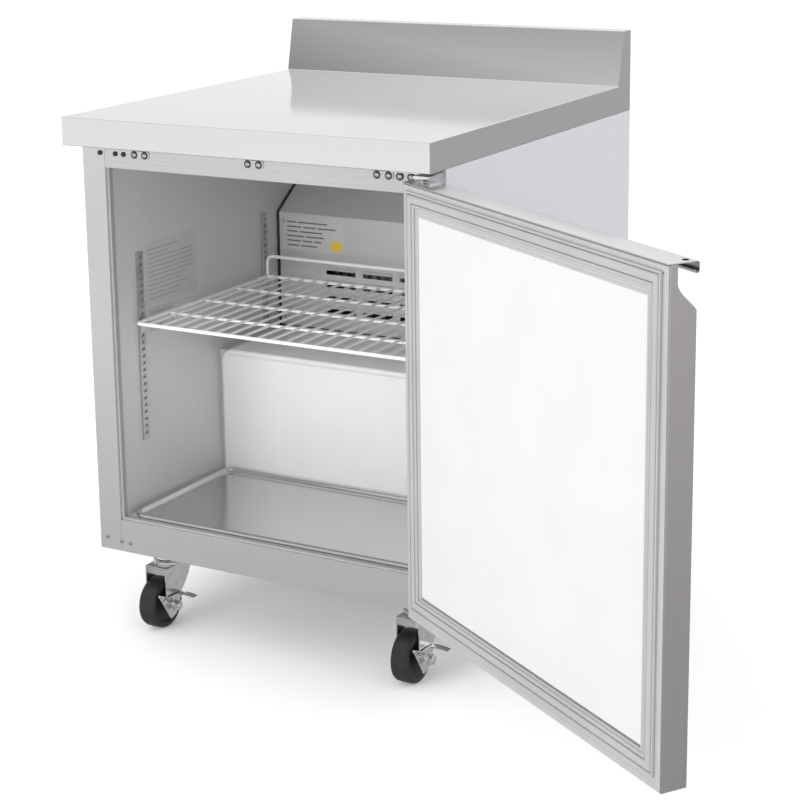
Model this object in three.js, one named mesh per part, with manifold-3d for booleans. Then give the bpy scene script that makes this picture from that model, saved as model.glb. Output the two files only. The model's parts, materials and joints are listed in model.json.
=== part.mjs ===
// Single-door undercounter worktop refrigerator on four casters. Millimetres, +Z up, front towards -Y.
// The cabinet is built about the point on the floor under its middle. The last lines move the whole
// object so that its origin is the bottom centre of its box, with the door standing open.
import * as THREE from 'three';
import { mergeVertices } from 'three/addons/utils/BufferGeometryUtils.js';
import Module from 'manifold-3d';

const wasm = await Module();
wasm.setup();

// Driving dimensions
const WIDTH = 698.5;
const DEPTH = 762;
const WORKTOP_HEIGHT = 921;
const FASCIA_HEIGHT = 48;
const BACKSPLASH_HEIGHT = 97;
const BACKSPLASH_BASE = 53;
const BACKSPLASH_TOP = 32;
const WORKTOP_OVERHANG = 53;
const CABINET_BOTTOM = 145;
const OPENING_TOP = 830;
const OPENING_BOTTOM = 203;
const STILE_WIDTH = 46;
const SHEET = 1.5;
const PANEL = 2;
const GAP = 0.3;

// Cabinet faces that follow from them
const HALF_WIDTH = WIDTH / 2;
const WORKTOP_FRONT = -DEPTH / 2;
const BACK = DEPTH / 2;
const CABINET_FRONT = WORKTOP_FRONT + WORKTOP_OVERHANG;
const FASCIA_BOTTOM = WORKTOP_HEIGHT - FASCIA_HEIGHT;
const CABINET_TOP = FASCIA_BOTTOM - GAP;
const HALF_OPENING = HALF_WIDTH - STILE_WIDTH;
const FRAME_DEPTH = 3.5;
const CORE_FRONT = CABINET_FRONT + FRAME_DEPTH + GAP;
const CORE_BACK = BACK - PANEL - GAP;
const PANEL_INNER = HALF_WIDTH - PANEL;

// Cold compartment: the liner's inner faces
const CABIN_HALF = 300.5;
const CABIN_FLOOR = 205.5;
const CABIN_CEILING = 835;
const CABIN_REAR = 336;
const HUMP_FRONT = -6;
const HUMP_TOP = 439;
const LINER = 1.5;

// Machine bay behind the hump
const BAY_FRONT = 44;
const BAY_TOP = 396;
const GRILLE_Y = 371;

// Shelf and its supports
const SHELF_Z = 549;
const SHELF_FRONT = -280;
const SHELF_REAR = 147;
const SHELF_HALF = 292;
const PILASTER_TOP = 669;
const PILASTER_WIDTH = 18;
const PILASTER_DEPTH = 3;
const FRONT_PILASTER = { y: -249, bottom: 331 };
const REAR_PILASTER = { y: 150, bottom: 455 };

// Evaporator cover
const COVER_Y = 200;
const COVER_FOLD = 664;
const COVER_TOP = { y: 270, z: 712 };
const COVER_HALF = 296;
const LOUVRE_ROWS = 4;
const LOUVRE_PITCH = 80;
const LOUVRE_HALF = 32;
const LOUVRE_TOP = 555;
const LOUVRE_DROP = 25;

// Door, in distances in front of the cabinet face when it is closed
const HINGE_X = 333;
const HINGE_OUT = 37;
const BRACKET_THICKNESS = 2.6;
const DOOR_OPEN = THREE.MathUtils.degToRad(147.2);
const DOOR_HALF = 345.5;
const DOOR_BOTTOM = 156;
const DOOR_TOP = 860;
const DOOR_INNER = 6;
const DOOR_OUTER = 47;
const SCOOP_INNER = 18;
const SCOOP_TOP = 834;
const SCOOP_BOTTOM = 798;
const PIN_RADIUS = 2.8;
const PIN_BORE = PIN_RADIUS + 0.5;

// Casters
const CASTER_X = 255;
const CASTER_FRONT_Y = -256;
const CASTER_REAR_Y = 306;
const WHEEL_RADIUS = 45;
const WHEEL_WIDTH = 34;
const CASTER_TRAIL = 30;
const AXLE_RADIUS = 4.5;

const finish = (color, roughness, metalness) => new THREE.MeshStandardMaterial({ color, roughness, metalness });
const STEEL = () => finish(0xb9bbbd, 0.35, 0.9);
const ZINC = () => finish(0xc8cacc, 0.3, 0.9);
const ALUMINIUM = () => finish(0xa8a8a5, 0.5, 0.7);
const WHITE = () => finish(0xf0f1f1, 0.35, 0);
const GREY = () => finish(0xcfcfcd, 0.55, 0);
const BLACK = () => finish(0x1c1c1d, 0.6, 0);
const FOAM = () => finish(0xe6dcb8, 0.9, 0);
const COPPER = () => finish(0xb87345, 0.35, 0.9);

const fridge = new THREE.Group();

function add(name, geometry, material, parent = fridge) {
  const mesh = new THREE.Mesh(geometry, material);
  mesh.name = name;
  parent.add(mesh);
  return mesh;
}

function group(x, y, z, parent = fridge) {
  const made = new THREE.Group();
  made.position.set(x, y, z);
  parent.add(made);
  return made;
}

// Shapes
function block([x0, x1], [y0, y1], [z0, z1]) {
  const geometry = new THREE.BoxGeometry(x1 - x0, y1 - y0, z1 - z0);
  return geometry.translate((x0 + x1) / 2, (y0 + y1) / 2, (z0 + z1) / 2);
}

// Outline points are [y, z] along x, [x, z] along y and [x, y] along z.
function prism(outline, along, start, end, holes = []) {
  const shape = new THREE.Shape(outline.map(([a, b]) => new THREE.Vector2(a, b)));
  shape.holes = holes.map((hole) => new THREE.Path(hole.map(([a, b]) => new THREE.Vector2(a, b))));
  const geometry = new THREE.ExtrudeGeometry(shape, { depth: end - start, bevelEnabled: false });
  const turn = new THREE.Matrix4();
  if (along === 'x') {
    turn.set(0, 0, 1, start, 1, 0, 0, 0, 0, 1, 0, 0, 0, 0, 0, 1);
  } else if (along === 'y') {
    turn.set(1, 0, 0, 0, 0, 0, -1, end, 0, 1, 0, 0, 0, 0, 0, 1);
  } else {
    turn.makeTranslation(0, 0, start);
  }
  return geometry.applyMatrix4(turn);
}

const rectangle = (a0, a1, b0, b1) => [[a0, b0], [a1, b0], [a1, b1], [a0, b1]];

function pointAlong(geometry, along) {
  if (along === 'x') {
    geometry.rotateZ(-Math.PI / 2);
  } else if (along === 'z') {
    geometry.rotateX(Math.PI / 2);
  }
  return geometry;
}

function rod(radius, along, start, end, [x, y, z], sides = 20) {
  const geometry = pointAlong(new THREE.CylinderGeometry(radius, radius, end - start, sides), along);
  const middle = (start + end) / 2;
  const offset = { x: [middle, y, z], y: [x, middle, z], z: [x, y, middle] }[along];
  return geometry.translate(...offset);
}

// A turned solid: profile points are [radius, distance along the axis].
function turned(profile, along, sides = 28) {
  const points = profile.map(([radius, height]) => new THREE.Vector2(radius, height));
  return pointAlong(new THREE.LatheGeometry(points, sides), along);
}

function pipe(points, radius, steps, sides = 8) {
  const path = new THREE.CatmullRomCurve3(points.map((point) => new THREE.Vector3(...point)));
  const section = new THREE.Shape();
  section.absarc(0, 0, radius, 0, Math.PI * 2);
  return new THREE.ExtrudeGeometry(section, { extrudePath: path, steps, curveSegments: sides / 2 });
}

// Solid joins and cuts
function solid(geometry) {
  const bare = geometry.clone();
  bare.deleteAttribute('normal');
  bare.deleteAttribute('uv');
  const merged = mergeVertices(bare, 1e-4);
  const vertProperties = merged.attributes.position.array;
  const triVerts = Uint32Array.from(merged.index.array);
  return new wasm.Manifold(new wasm.Mesh({ numProp: 3, vertProperties, triVerts }));
}

function surface(body) {
  const mesh = body.getMesh();
  const geometry = new THREE.BufferGeometry();
  geometry.setAttribute('position', new THREE.BufferAttribute(mesh.vertProperties, 3));
  geometry.setIndex(new THREE.BufferAttribute(mesh.triVerts, 1));
  geometry.computeVertexNormals();
  return geometry;
}

const joined = (...pieces) => surface(pieces.map(solid).reduce((whole, piece) => whole.add(piece)));
const cut = (piece, ...tools) => surface(tools.map(solid).reduce((whole, tool) => whole.subtract(tool), solid(piece)));

// Worktop: one folded sheet with a front fascia, closed ends and a sloped backsplash, on a foam-filled core.
function makeWorktop() {
  const splashTop = WORKTOP_HEIGHT + BACKSPLASH_HEIGHT;
  const outline = [
    [WORKTOP_FRONT, FASCIA_BOTTOM], [BACK, FASCIA_BOTTOM], [BACK, splashTop],
    [BACK - BACKSPLASH_TOP, splashTop],
    [BACK - BACKSPLASH_BASE, WORKTOP_HEIGHT], [WORKTOP_FRONT, WORKTOP_HEIGHT],
  ];
  const hollow = [
    [WORKTOP_FRONT + PANEL, FASCIA_BOTTOM - 1], [BACK - PANEL, FASCIA_BOTTOM - 1],
    [BACK - PANEL, splashTop - PANEL],
    [BACK - BACKSPLASH_TOP + PANEL, splashTop - PANEL],
    [BACK - BACKSPLASH_BASE + PANEL, WORKTOP_HEIGHT - PANEL],
    [WORKTOP_FRONT + PANEL, WORKTOP_HEIGHT - PANEL],
  ];
  const body = prism(outline, 'x', -HALF_WIDTH, HALF_WIDTH);
  const inside = prism(hollow, 'x', -PANEL_INNER, PANEL_INNER);
  add('worktop', cut(body, inside), STEEL());

  const coreHalf = PANEL_INNER - GAP;
  const coreOutline = [
    [WORKTOP_FRONT + PANEL + GAP, FASCIA_BOTTOM + PANEL], [CORE_FRONT, FASCIA_BOTTOM + PANEL],
    [CORE_FRONT, CABIN_CEILING + LINER + GAP], [CORE_BACK, CABIN_CEILING + LINER + GAP],
    [CORE_BACK, WORKTOP_HEIGHT - PANEL - GAP],
    [WORKTOP_FRONT + PANEL + GAP, WORKTOP_HEIGHT - PANEL - GAP],
  ];
  add('worktop_core', prism(coreOutline, 'x', -coreHalf, coreHalf), FOAM());
}

// Outer shell: side panels folded round into the front stiles, front rails, rear panel and base pan.
function makeShell() {
  for (const [side, sign] of [['left', -1], ['right', 1]]) {
    const outline = [
      [HALF_WIDTH, BACK], [HALF_WIDTH, CABINET_FRONT], [HALF_OPENING, CABINET_FRONT],
      [HALF_OPENING, CABINET_FRONT + FRAME_DEPTH], [HALF_OPENING + SHEET, CABINET_FRONT + FRAME_DEPTH],
      [HALF_OPENING + SHEET, CABINET_FRONT + SHEET],
      [PANEL_INNER, CABINET_FRONT + SHEET], [PANEL_INNER, BACK],
    ].map(([x, y]) => [sign * x, y]);
    add(`side_panel_${side}`, prism(outline, 'z', CABINET_BOTTOM, CABINET_TOP), STEEL());
  }
  const railHalf = HALF_OPENING - GAP;
  const face = [CABINET_FRONT, CABINET_FRONT + SHEET];
  const lip = [CABINET_FRONT, CABINET_FRONT + FRAME_DEPTH];
  const across = [-railHalf, railHalf];
  add('top_rail', joined(
    block(across, face, [OPENING_TOP, CABINET_TOP]),
    block(across, lip, [OPENING_TOP, OPENING_TOP + SHEET]),
  ), STEEL());
  add('sill_rail', joined(
    block(across, face, [CABINET_BOTTOM, OPENING_BOTTOM]),
    block(across, lip, [OPENING_BOTTOM - SHEET, OPENING_BOTTOM]),
  ), STEEL());
  const inside = [-PANEL_INNER + GAP, PANEL_INNER - GAP];
  add('rear_panel', block(inside, [BACK - PANEL, BACK], [BAY_TOP + GAP, CABINET_TOP]), STEEL());
  add('base_pan', block(inside, [CORE_FRONT, BACK], [CABINET_BOTTOM, CABINET_BOTTOM + PANEL]), ZINC());
}

// Foam insulation: two side slabs, and a floor that steps over the machine bay into the rear wall.
function makeInsulation() {
  const bottom = CABINET_BOTTOM + PANEL + GAP;
  const linerOuter = LINER + GAP;
  const slab = [PANEL_INNER - GAP, CABIN_HALF + linerOuter];
  for (const [side, sign] of [['left', -1], ['right', 1]]) {
    const span = slab.map((x) => sign * x).sort((a, b) => a - b);
    add(
      `insulation_${side}`,
      block(span, [CORE_FRONT, CORE_BACK], [bottom, CABIN_CEILING + LINER]),
      FOAM(),
    );
  }
  const outline = [
    [CORE_FRONT, bottom], [BAY_FRONT, bottom], [BAY_FRONT, BAY_TOP], [CORE_BACK, BAY_TOP],
    [CORE_BACK, CABIN_CEILING + LINER], [CABIN_REAR + linerOuter, CABIN_CEILING + LINER],
    [CABIN_REAR + linerOuter, HUMP_TOP - linerOuter], [HUMP_FRONT + linerOuter, HUMP_TOP - linerOuter],
    [HUMP_FRONT + linerOuter, CABIN_FLOOR - linerOuter], [CORE_FRONT, CABIN_FLOOR - linerOuter],
  ];
  const half = CABIN_HALF + LINER;
  add('insulation_floor_rear', prism(outline, 'x', -half, half), FOAM());
}

// Cabin: liner box, hump moulding, floor tray and the plastic frame round the opening.
function makeCabin() {
  const profile = (grow) => [
    [CORE_FRONT, CABIN_FLOOR - grow], [HUMP_FRONT + grow, CABIN_FLOOR - grow],
    [HUMP_FRONT + grow, HUMP_TOP - grow],
    [CABIN_REAR + grow, HUMP_TOP - grow], [CABIN_REAR + grow, CABIN_CEILING + grow],
    [CORE_FRONT, CABIN_CEILING + grow],
  ];
  const cavity = profile(0).map(([y, z]) => [y === CORE_FRONT ? y - 1 : y, z]);
  const half = CABIN_HALF + LINER - GAP;
  add(
    'liner',
    cut(prism(profile(LINER), 'x', -half, half), prism(cavity, 'x', -CABIN_HALF, CABIN_HALF)),
    ALUMINIUM(),
  );

  const moulding = 3;
  const front = HUMP_FRONT - GAP;
  const humpOutline = [
    [front, CABIN_FLOOR + GAP], [front, HUMP_TOP + GAP], [COVER_Y - 3, HUMP_TOP + GAP],
    [COVER_Y - 3, HUMP_TOP + GAP + moulding],
    [front - moulding, HUMP_TOP + GAP + moulding], [front - moulding, CABIN_FLOOR + GAP],
  ];
  add('hump_moulding', prism(humpOutline, 'x', -CABIN_HALF + 4, CABIN_HALF - 4), WHITE());

  const trayLow = CABIN_FLOOR + GAP;
  const trayRim = 9;
  const trayHalf = CABIN_HALF - 9;
  const trayFront = CORE_FRONT + 11;
  const trayRear = front - moulding - 3;
  add('floor_tray', cut(
    block([-trayHalf, trayHalf], [trayFront, trayRear], [trayLow, trayLow + trayRim]),
    block([-trayHalf + 7, trayHalf - 7], [trayFront + 7, trayRear - 7], [trayLow + SHEET, trayLow + trayRim + 1]),
  ), STEEL());

  const outer = [CABIN_HALF - GAP, CABIN_FLOOR + GAP, CABIN_CEILING - GAP];
  const thick = 2.2;
  const ring = rectangle(-outer[0], outer[0], outer[1], outer[2]);
  const hole = rectangle(-outer[0] + thick, outer[0] - thick, outer[1] + thick, outer[2] - thick);
  add('breaker_frame', prism(ring, 'y', CORE_FRONT, CORE_FRONT + 10, [hole]), GREY());
}

// Slotted shelf standards, clips and the wire shelf.
function makeShelf() {
  const wall = CABIN_HALF - GAP;
  const slotPitch = 12.7;
  const slotHeight = 5;
  const slotWidth = 8;
  for (const [place, { y, bottom }] of [['front', FRONT_PILASTER], ['rear', REAR_PILASTER]]) {
    for (const [side, sign] of [['left', -1], ['right', 1]]) {
      const start = sign < 0 ? -wall : wall - PILASTER_DEPTH;
      const slots = [];
      for (let z = bottom + 10; z < PILASTER_TOP - 10; z += slotPitch) {
        const slot = [[y - slotWidth / 2, y + slotWidth / 2], [z, z + slotHeight]];
        slots.push(block([start - 1, start + PILASTER_DEPTH + 1], ...slot));
      }
      const strip = block(
        [start, start + PILASTER_DEPTH],
        [y - PILASTER_WIDTH / 2, y + PILASTER_WIDTH / 2],
        [bottom, PILASTER_TOP],
      );
      add(`pilaster_${place}_${side}`, cut(strip, ...slots), ZINC());

      const inner = wall - PILASTER_DEPTH - GAP;
      const clip = [[inner, SHELF_Z - 24], [inner, SHELF_Z - 3.3], [inner - 13, SHELF_Z - 3.3], [inner - 13, SHELF_Z - 6]];
      const outline = clip.map(([x, z]) => [sign * x, z]);
      add(`shelf_clip_${place}_${side}`, prism(outline, 'y', y - 7, y + 7), ZINC());
    }
  }

  const wires = 20;
  const edge = 3.3;
  const wire = 2.2;
  const frameLow = SHELF_Z - edge;
  const frameHigh = SHELF_Z + edge;
  const bailTop = SHELF_Z + 43;
  const pieces = [];
  for (const y of [SHELF_FRONT + edge, SHELF_REAR - edge]) {
    pieces.push(block([-SHELF_HALF, SHELF_HALF], [y - edge, y + edge], [frameLow, frameHigh]));
  }
  for (const x of [-SHELF_HALF + edge, SHELF_HALF - edge]) {
    pieces.push(block([x - edge, x + edge], [SHELF_FRONT, SHELF_REAR], [frameLow, frameHigh]));
    pieces.push(block([x - edge, x + edge], [SHELF_REAR - 2 * edge, SHELF_REAR], [frameLow, bailTop]));
  }
  pieces.push(
    block([-SHELF_HALF, SHELF_HALF], [SHELF_REAR - 2 * edge, SHELF_REAR], [bailTop - 2 * edge, bailTop]),
  );
  const pitch = (2 * SHELF_HALF) / (wires + 1);
  for (let i = 1; i <= wires; i += 1) {
    const x = -SHELF_HALF + i * pitch;
    pieces.push(
      block([x - wire, x + wire], [SHELF_FRONT + 1, SHELF_REAR - 1], [SHELF_Z - 1, SHELF_Z + 2.5]),
    );
  }
  for (const y of [-175, -66, 40]) {
    pieces.push(
      block([-SHELF_HALF + 1, SHELF_HALF - 1], [y - 2, y + 2], [SHELF_Z - 4.6, SHELF_Z - 0.6]),
    );
  }
  add('wire_shelf', joined(...pieces), WHITE());
}

// Evaporator section: folded cover with louvres, its seal, finned coil and fan.
function makeEvaporator() {
  const low = HUMP_TOP + 4;
  const rear = CABIN_REAR - GAP;
  const face = [
    [COVER_Y, low], [COVER_Y + SHEET, low], [COVER_Y + SHEET, COVER_FOLD - 0.5],
    [COVER_TOP.y + 0.5, COVER_TOP.z - SHEET],
    [rear, COVER_TOP.z - SHEET], [rear, COVER_TOP.z], [COVER_TOP.y, COVER_TOP.z], [COVER_Y, COVER_FOLD],
  ];
  const louvres = [];
  for (let column = -2; column <= 2; column += 1) {
    for (let row = 0; row < LOUVRE_ROWS; row += 1) {
      const x = column * LOUVRE_PITCH;
      const z = LOUVRE_TOP - row * LOUVRE_DROP;
      louvres.push(block([x - LOUVRE_HALF, x + LOUVRE_HALF], [COVER_Y - 5, COVER_Y + 5], [z - 4, z + 4]));
    }
  }
  add('evaporator_cover', cut(prism(face, 'x', -COVER_HALF, COVER_HALF), ...louvres), ALUMINIUM());

  const seal = [COVER_HALF + GAP, CABIN_HALF - GAP];
  const strip = [
    [COVER_Y - 2, HUMP_TOP + GAP], [COVER_Y + 6, HUMP_TOP + GAP], [COVER_Y + 6, COVER_FOLD - 2],
    [COVER_TOP.y + 6, COVER_TOP.z - 4], [COVER_TOP.y, COVER_TOP.z + 3], [COVER_Y - 2, COVER_FOLD + 1],
  ];
  add('cover_seal', joined(
    prism(strip, 'x', -seal[1], -seal[0]),
    prism(strip, 'x', seal[0], seal[1]),
    block([-seal[1], seal[1]], [COVER_Y - 2, COVER_Y + 6], [HUMP_TOP + GAP, low - GAP]),
  ), BLACK());

  add('evaporator_coil', finnedCoil([-230, 230], [270, 332], [448, 652], 24), ALUMINIUM());
  makeFan('evaporator_fan', 0, 205, 524, 62);
}

// A block of upright fins on a spine, as a coil with its tubes through it.
function finnedCoil([x0, x1], [y0, y1], [z0, z1], fins) {
  const pitch = (x1 - x0) / fins;
  const spine = y0 + (y1 - y0) * 0.4;
  const outline = [[x0, spine - 8]];
  for (let i = 0; i < fins; i += 1) {
    const left = x0 + i * pitch;
    outline.push(
      [left + pitch * 0.2, spine - 8], [left + pitch * 0.2, y0],
      [left + pitch * 0.6, y0], [left + pitch * 0.6, spine - 8],
    );
  }
  outline.push([x1, spine - 8], [x1, spine + 8]);
  for (let i = fins - 1; i >= 0; i -= 1) {
    const left = x0 + i * pitch;
    outline.push(
      [left + pitch * 0.6, spine + 8], [left + pitch * 0.6, y1],
      [left + pitch * 0.2, y1], [left + pitch * 0.2, spine + 8],
    );
  }
  outline.push([x0, spine + 8]);
  return prism(outline, 'z', z0, z1);
}

// An axial fan facing along Y: four pitched blades on a hub, and the motor behind it.
function makeFan(name, x, y, z, radius) {
  const hub = rod(14, 'y', 6, 20, [0, 0, 0]);
  const blades = [0, 1, 2, 3].map((i) => {
    const blade = block([8, radius], [-1, 1], [-14, 14]);
    blade.rotateX(THREE.MathUtils.degToRad(58));
    blade.translate(0, 13, 0);
    return blade.rotateY((i * Math.PI) / 2);
  });
  const fan = group(x, y, z);
  add(`${name}_blade`, joined(hub, ...blades), ALUMINIUM(), fan);
  add(`${name}_motor`, joined(
    rod(24, 'y', 30, 60, [0, 0, 0]),
    rod(3, 'y', 20.3, 31, [0, 0, 0], 10),
    block([-70, 70], [50, 53], [-6, 6]),
  ), BLACK(), fan);
}

// Machine bay: compressor, condenser with its fan, refrigerant line with drier, controls and rear grille.
function makeMachineBay() {
  const floor = CABINET_BOTTOM + PANEL + GAP;
  const shell = turned([[0, 0], [66, 0], [76, 14], [78, 60], [74, 105], [52, 132], [0, 142]], 'z');
  shell.translate(150, 170, floor + 18);
  add('compressor', joined(
    shell,
    block([60, 240], [120, 220], [floor + 12, floor + 24]),
    block([66, 90], [125, 215], [floor, floor + 14]),
    block([210, 234], [125, 215], [floor, floor + 14]),
  ), BLACK());
  add('condenser_coil', finnedCoil([-280, -20], [300, 355], [floor + 6, 372], 14), BLACK());
  makeFan('condenser_fan', -150, 215, 262, 92);
  add('refrigerant_line', joined(
    pipe([[228, 262, 330], [228, 300, 344], [190, 330, 352], [90, 336, 352], [20, 332, 340]], 4, 20),
    rod(11, 'x', 60, 150, [0, 336, 352], 12),
  ), COPPER());

  const half = CABIN_HALF - 2;
  const through = [GRILLE_Y - 2, GRILLE_Y + 4];
  const slots = [];
  for (const x of [-180, 0, 180]) {
    for (let z = 176; z < 300; z += 20) {
      slots.push(block([x - 75, x + 75], through, [z, z + 8]));
    }
  }
  const shaft = [235, 350];
  const plate = block([-half, half], [GRILLE_Y, GRILLE_Y + SHEET], [floor, BAY_TOP - GAP]);
  add('rear_grille', cut(plate, rod(6, 'y', ...through, [shaft[0], 0, shaft[1]]), ...slots), STEEL());
  add('thermostat_box', block([208, 262], [338, GRILLE_Y - GAP - 0.5], [326, 374]), GREY());
  const knob = group(shaft[0], 0, shaft[1]);
  add('thermostat_knob', joined(
    rod(16, 'y', GRILLE_Y + SHEET + 1, BACK, [0, 0, 0], 24),
    rod(4, 'y', GRILLE_Y - 0.1, GRILLE_Y + 4, [0, 0, 0], 12),
  ), BLACK(), knob);
  add('power_inlet', block([-262, -214], [GRILLE_Y + SHEET + GAP, BACK - 1], [330, 362]), BLACK());
}

// Door hinge brackets with their pins, fixed to the front frame.
function makeHinges() {
  const plate = [CABINET_FRONT - BRACKET_THICKNESS, CABINET_FRONT - GAP];
  const pivot = [HINGE_X, CABINET_FRONT - HINGE_OUT, 0];
  const tongue = [pivot[1] - 12, CABINET_FRONT - GAP];
  add('hinge_bracket_top', joined(
    block([252, 346], plate, [DOOR_TOP + 2, FASCIA_BOTTOM - 0.6]),
    block([318, 346], tongue, [DOOR_TOP + 3, DOOR_TOP + 8]),
    rod(PIN_RADIUS, 'z', DOOR_TOP - 12, DOOR_TOP + 4, pivot, 24),
  ), ZINC());
  add('hinge_bracket_bottom', joined(
    block([282, 346], plate, [CABINET_BOTTOM + 1, CABINET_BOTTOM + 26]),
    block([318, 346], tongue, [CABINET_BOTTOM + 1, CABINET_BOTTOM + 6]),
    rod(PIN_RADIUS, 'z', CABINET_BOTTOM + 5, DOOR_BOTTOM + 22, pivot, 24),
  ), ZINC());
}

// Door, built closed about its hinge axis and then swung open.
function makeDoor() {
  const door = group(HINGE_X, CABINET_FRONT - HINGE_OUT, 0);
  door.rotation.z = DOOR_OPEN;
  const out = (distance) => HINGE_OUT - distance;
  const left = -HINGE_X - DOOR_HALF;
  const right = -HINGE_X + DOOR_HALF;
  const pinSpots = [[0, 0], [-2 * HINGE_X, 0]];
  const bore = (radius, z0, z1) => pinSpots.map(([x, y]) => rod(radius, 'z', z0, z1, [x, y, 0], 24));

  // Outline of the leaf from the side. The pull is a scoop below the top plate.
  const leaf = (inset, inner) => [
    [out(inner), DOOR_BOTTOM + inset], [out(DOOR_OUTER - inset), DOOR_BOTTOM + inset],
    [out(DOOR_OUTER - inset), SCOOP_BOTTOM - inset], [out(36 - inset), SCOOP_BOTTOM + 9 - inset],
    [out(25 - inset), SCOOP_BOTTOM + 20 - inset], [out(SCOOP_INNER - inset), SCOOP_TOP - inset],
    [out(SCOOP_INNER - inset), DOOR_TOP - 2 - inset], [out(inner), DOOR_TOP - 2 - inset],
  ];
  const foamInset = SHEET + GAP;
  const cavity = prism(leaf(SHEET, DOOR_INNER - 2), 'x', left + SHEET, right - SHEET);
  const skin = prism(leaf(0, DOOR_INNER), 'x', left, right);
  add(
    'door_skin',
    cut(skin, cavity, ...bore(PIN_BORE, DOOR_BOTTOM - 1, DOOR_BOTTOM + 3)),
    STEEL(), door,
  );

  const plateTop = DOOR_TOP;
  const plateLow = DOOR_TOP - SHEET;
  const lip = 50;
  const hook = 13;
  const curl = [
    [out(DOOR_INNER - 2), plateLow], [out(lip - SHEET), plateLow], [out(lip - SHEET), plateLow - hook],
    [out(lip - 6), plateLow - hook], [out(lip - 6), plateLow - hook + 6],
    [out(lip - 6 - SHEET), plateLow - hook + 6], [out(lip - 6 - SHEET), plateLow - hook - SHEET],
    [out(lip), plateLow - hook - SHEET], [out(lip), plateTop], [out(DOOR_INNER - 2), plateTop],
  ];
  add(
    'door_top_plate',
    cut(prism(curl, 'x', left, right), ...bore(PIN_BORE, plateLow - 2, plateTop + 2)),
    STEEL(), door,
  );

  const foam = prism(leaf(foamInset, DOOR_INNER + 3), 'x', left + foamInset, right - foamInset);
  add('door_foam', cut(foam, ...bore(PIN_BORE, DOOR_BOTTOM, DOOR_BOTTOM + 24)), FOAM(), door);

  const middle = -HINGE_X;
  const ring = (half, z0, z1) => rectangle(middle - half, middle + half, z0, z1);
  const level = (near, far) => [out(far), out(near)];
  const frameHalf = DOOR_HALF - SHEET - GAP;
  const panelHalf = 299;
  const panelLow = 206;
  const panelHigh = 818;
  add('door_inner_frame', prism(
    ring(frameHalf, DOOR_BOTTOM + SHEET + GAP, DOOR_TOP - 2 - SHEET - GAP), 'y', ...level(4.5, DOOR_INNER + 2.7),
    [ring(panelHalf + GAP, panelLow - GAP, panelHigh + GAP)],
  ), GREY(), door);
  add(
    'door_liner_panel',
    prism(ring(panelHalf, panelLow, panelHigh), 'y', ...level(5.5, DOOR_INNER + 2.7)),
    WHITE(), door,
  );
  add(
    'door_gasket',
    prism(ring(332, 175, 849), 'y', ...level(GAP, 4.2), [ring(308, 199, 825)]),
    GREY(), door,
  );
}

// Casters: mounting plate with its ball race, swivelling fork with axle, wheel, and a pedal on the braked ones.
function makeCasters() {
  const spots = [
    ['front_left', -CASTER_X, CASTER_FRONT_Y, true], ['front_right', CASTER_X, CASTER_FRONT_Y, true],
    ['rear_left', -CASTER_X, CASTER_REAR_Y, false], ['rear_right', CASTER_X, CASTER_REAR_Y, false],
  ];
  const plateTop = CABINET_BOTTOM - GAP;
  const raceLow = 121;
  const crown = 113;
  const legInner = WHEEL_WIDTH / 2 + 2.5;
  const legOuter = legInner + 2.5;
  const axle = [0, -CASTER_TRAIL, WHEEL_RADIUS];
  const [, axleY, axleZ] = axle;
  const legFront = axleY - 12;
  const legBack = 38;
  for (const [place, x, y, braked] of spots) {
    const caster = group(x, y, 0);
    add(`caster_plate_${place}`, joined(
      block([-45, 45], [-37, 37], [plateTop - 3, plateTop]),
      rod(24, 'z', raceLow, plateTop - 2, [0, 0, 0], 24),
    ), ZINC(), caster);

    const leg = [
      [legFront, crown], [legBack, crown], [legBack - 2, crown - 14], [24, 78], [4, 55],
      [axleY + 11, axleZ - 10], [axleY - 9, axleZ - 10], [legFront, axleZ],
    ];
    const axleEnd = braked ? 44 : 28;
    add(`caster_fork_${place}`, joined(
      block([-legOuter, legOuter], [legFront, legBack], [crown - 2.5, crown]),
      rod(28, 'z', crown - 1, raceLow - GAP, [0, 0, 0], 24),
      prism(leg, 'x', -legOuter, -legInner),
      prism(leg, 'x', legInner, legOuter),
      rod(AXLE_RADIUS, 'x', -28, axleEnd, axle, 16),
      rod(8, 'x', -28, -legOuter + 0.5, axle, 6),
      rod(9, 'x', axleEnd - 8, axleEnd, axle, 6),
    ), ZINC(), caster);

    const half = WHEEL_WIDTH / 2;
    const bore = AXLE_RADIUS + 0.5;
    const side = [
      [bore, -half], [16, -half], [18, -half + 4], [32, -half + 4],
      [36, -half], [WHEEL_RADIUS - 3, -half], [WHEEL_RADIUS, -half + 4],
    ];
    const otherSide = side.map(([radius, along]) => [radius, -along]).reverse();
    const tread = turned([...side, ...otherSide, side[0]], 'x', 24);
    add(`caster_wheel_${place}`, tread.translate(...axle), BLACK(), caster);

    if (braked) {
      const from = legOuter + 2;
      const wings = [
        [axleY - 38, axleZ + 28], [axleY - 39, axleZ + 24], [axleY - 6, axleZ - 25],
        [axleY + 12, axleZ - 21],
        [axleY + 13, axleZ - 4], [axleY + 34, axleZ + 8], [axleY + 34, axleZ + 13],
        [axleY - 6, axleZ + 15],
      ];
      add(`brake_lever_${place}`, cut(joined(
        prism(wings, 'x', from, from + 3),
        block([from, from + 34], [axleY + 20, axleY + 34], [axleZ + 10, axleZ + 13]),
      ), rod(AXLE_RADIUS + 0.5, 'x', from - 2, from + 12, axle, 16)), ZINC(), caster);
    }
  }
}

makeWorktop();
makeShell();
makeInsulation();
makeCabin();
makeShelf();
makeEvaporator();
makeMachineBay();
makeHinges();
makeDoor();
makeCasters();

fridge.updateMatrixWorld(true);
const bounds = new THREE.Box3().setFromObject(fridge, true);
const middle = bounds.getCenter(new THREE.Vector3());
fridge.position.set(-middle.x, -middle.y, -bounds.min.z);

export default fridge;
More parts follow.
